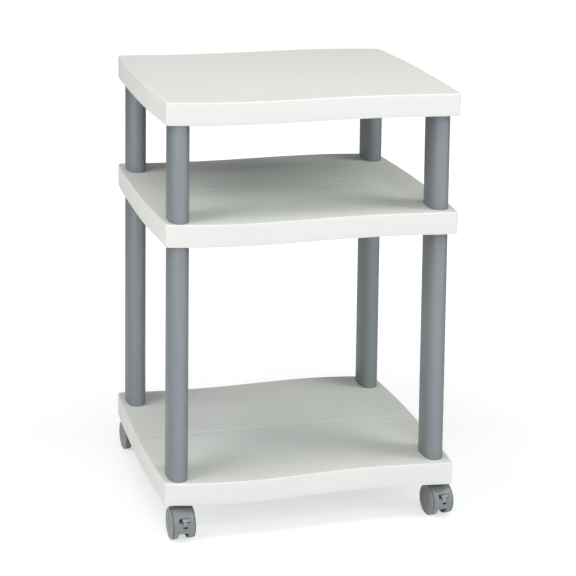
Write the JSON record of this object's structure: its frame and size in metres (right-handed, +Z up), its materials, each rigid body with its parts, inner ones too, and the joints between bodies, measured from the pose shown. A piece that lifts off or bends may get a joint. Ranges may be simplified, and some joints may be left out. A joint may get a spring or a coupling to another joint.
{
  "type": "mobile printer stand",
  "caption": "Open printer stand on casters: pale moulded shelves with wavy front edges on grey oval posts, with hooded swivel casters and brake levers at the front.",
  "frame": {"origin": "on the floor, under the middle of the shelves", "axes": "+X to the stand's right seen from the front, +Y from its front to its back, +Z up"},
  "size_m": [0.5124, 0.4804, 0.743],
  "materials": {
    "shelf_plastic": "fine-textured, warm pale grey",
    "post_plastic": "satin, blue-grey",
    "caster_plastic": "satin, grey",
    "wheel_plastic": "satin, grey",
    "steel": "bright zinc"
  },
  "bodies": {
    "stand": {"top_shelf": "shelf_plastic", "middle_shelf_front": "shelf_plastic", "middle_shelf_rear": "shelf_plastic", "bottom_shelf_front": "shelf_plastic", "bottom_shelf_rear": "shelf_plastic", "upper_post_front_left": "post_plastic", "upper_post_front_right": "post_plastic", "upper_post_rear_left": "post_plastic", "upper_post_rear_right": "post_plastic", "lower_post_front_left": "post_plastic", "lower_post_front_right": "post_plastic", "lower_post_rear_left": "post_plastic", "lower_post_rear_right": "post_plastic", "post_coupler_front_left": "post_plastic", "post_coupler_front_right": "post_plastic", "post_coupler_rear_left": "post_plastic", "post_coupler_rear_right": "post_plastic", "caster_stem_front_left": "steel", "caster_stem_front_right": "steel", "caster_stem_rear_left": "steel", "caster_stem_rear_right": "steel"},
    "caster_front_left": {"caster_housing_front_left": "caster_plastic", "caster_axle_front_left": "steel"},
    "wheel_outer_front_left": {"caster_wheel_outer_front_left": "wheel_plastic"},
    "wheel_inner_front_left": {"caster_wheel_inner_front_left": "wheel_plastic"},
    "brake_lever_front_left": {"brake_lever_front_left": "caster_plastic"},
    "caster_front_right": {"caster_housing_front_right": "caster_plastic", "caster_axle_front_right": "steel"},
    "wheel_outer_front_right": {"caster_wheel_outer_front_right": "wheel_plastic"},
    "wheel_inner_front_right": {"caster_wheel_inner_front_right": "wheel_plastic"},
    "brake_lever_front_right": {"brake_lever_front_right": "caster_plastic"},
    "caster_rear_left": {"caster_housing_rear_left": "caster_plastic", "caster_axle_rear_left": "steel"},
    "wheel_outer_rear_left": {"caster_wheel_outer_rear_left": "wheel_plastic"},
    "wheel_inner_rear_left": {"caster_wheel_inner_rear_left": "wheel_plastic"},
    "caster_rear_right": {"caster_housing_rear_right": "caster_plastic", "caster_axle_rear_right": "steel"},
    "wheel_outer_rear_right": {"caster_wheel_outer_rear_right": "wheel_plastic"},
    "wheel_inner_rear_right": {"caster_wheel_inner_rear_right": "wheel_plastic"}
  },
  "joints": [
    {"name": "swivel_front_left", "type": "hinge", "parent": "stand", "child": "caster_front_left", "pos_m": [-0.2217, -0.189, 0.058], "axis": [0, 0, 1], "continuous": true},
    {"name": "wheel_outer_front_left_spin", "type": "hinge", "parent": "caster_front_left", "child": "wheel_outer_front_left", "pos_m": [-0.22057, -0.21047, 0.026], "axis": [0.9986, 0.0523, 0], "continuous": true},
    {"name": "wheel_inner_front_left_spin", "type": "hinge", "parent": "caster_front_left", "child": "wheel_inner_front_left", "pos_m": [-0.22057, -0.21047, 0.026], "axis": [0.9986, 0.0523, 0], "continuous": true},
    {"name": "brake_lever_front_left_press", "type": "hinge", "parent": "caster_front_left", "child": "brake_lever_front_left", "pos_m": [-0.21971, -0.22707, 0.03411], "axis": [0.9986, 0.0523, 0], "range_deg": [0, 8]},
    {"name": "swivel_front_right", "type": "hinge", "parent": "stand", "child": "caster_front_right", "pos_m": [0.2277, -0.189, 0.058], "axis": [0, 0, 1], "continuous": true},
    {"name": "wheel_outer_front_right_spin", "type": "hinge", "parent": "caster_front_right", "child": "wheel_outer_front_right", "pos_m": [0.23106, -0.21024, 0.026], "axis": [0.9877, 0.1564, 0], "continuous": true},
    {"name": "wheel_inner_front_right_spin", "type": "hinge", "parent": "caster_front_right", "child": "wheel_inner_front_right", "pos_m": [0.23106, -0.21024, 0.026], "axis": [0.9877, 0.1564, 0], "continuous": true},
    {"name": "brake_lever_front_right_press", "type": "hinge", "parent": "caster_front_right", "child": "brake_lever_front_right", "pos_m": [0.23366, -0.22666, 0.03411], "axis": [0.9877, 0.1564, 0], "range_deg": [0, 8]},
    {"name": "swivel_rear_left", "type": "hinge", "parent": "stand", "child": "caster_rear_left", "pos_m": [-0.2237, 0.189, 0.058], "axis": [0, 0, 1], "continuous": true},
    {"name": "wheel_outer_rear_left_spin", "type": "hinge", "parent": "caster_rear_left", "child": "wheel_outer_rear_left", "pos_m": [-0.22557, 0.21042, 0.026], "axis": [-0.9962, -0.0872, 0], "continuous": true},
    {"name": "wheel_inner_rear_left_spin", "type": "hinge", "parent": "caster_rear_left", "child": "wheel_inner_rear_left", "pos_m": [-0.22557, 0.21042, 0.026], "axis": [-0.9962, -0.0872, 0], "continuous": true},
    {"name": "swivel_rear_right", "type": "hinge", "parent": "stand", "child": "caster_rear_right", "pos_m": [0.2257, 0.189, 0.058], "axis": [0, 0, 1], "continuous": true},
    {"name": "wheel_outer_rear_right_spin", "type": "hinge", "parent": "caster_rear_right", "child": "wheel_outer_rear_right", "pos_m": [0.22906, 0.21024, 0.026], "axis": [-0.9877, 0.1564, 0], "continuous": true},
    {"name": "wheel_inner_rear_right_spin", "type": "hinge", "parent": "caster_rear_right", "child": "wheel_inner_rear_right", "pos_m": [0.22906, 0.21024, 0.026], "axis": [-0.9877, 0.1564, 0], "continuous": true}
  ]
}
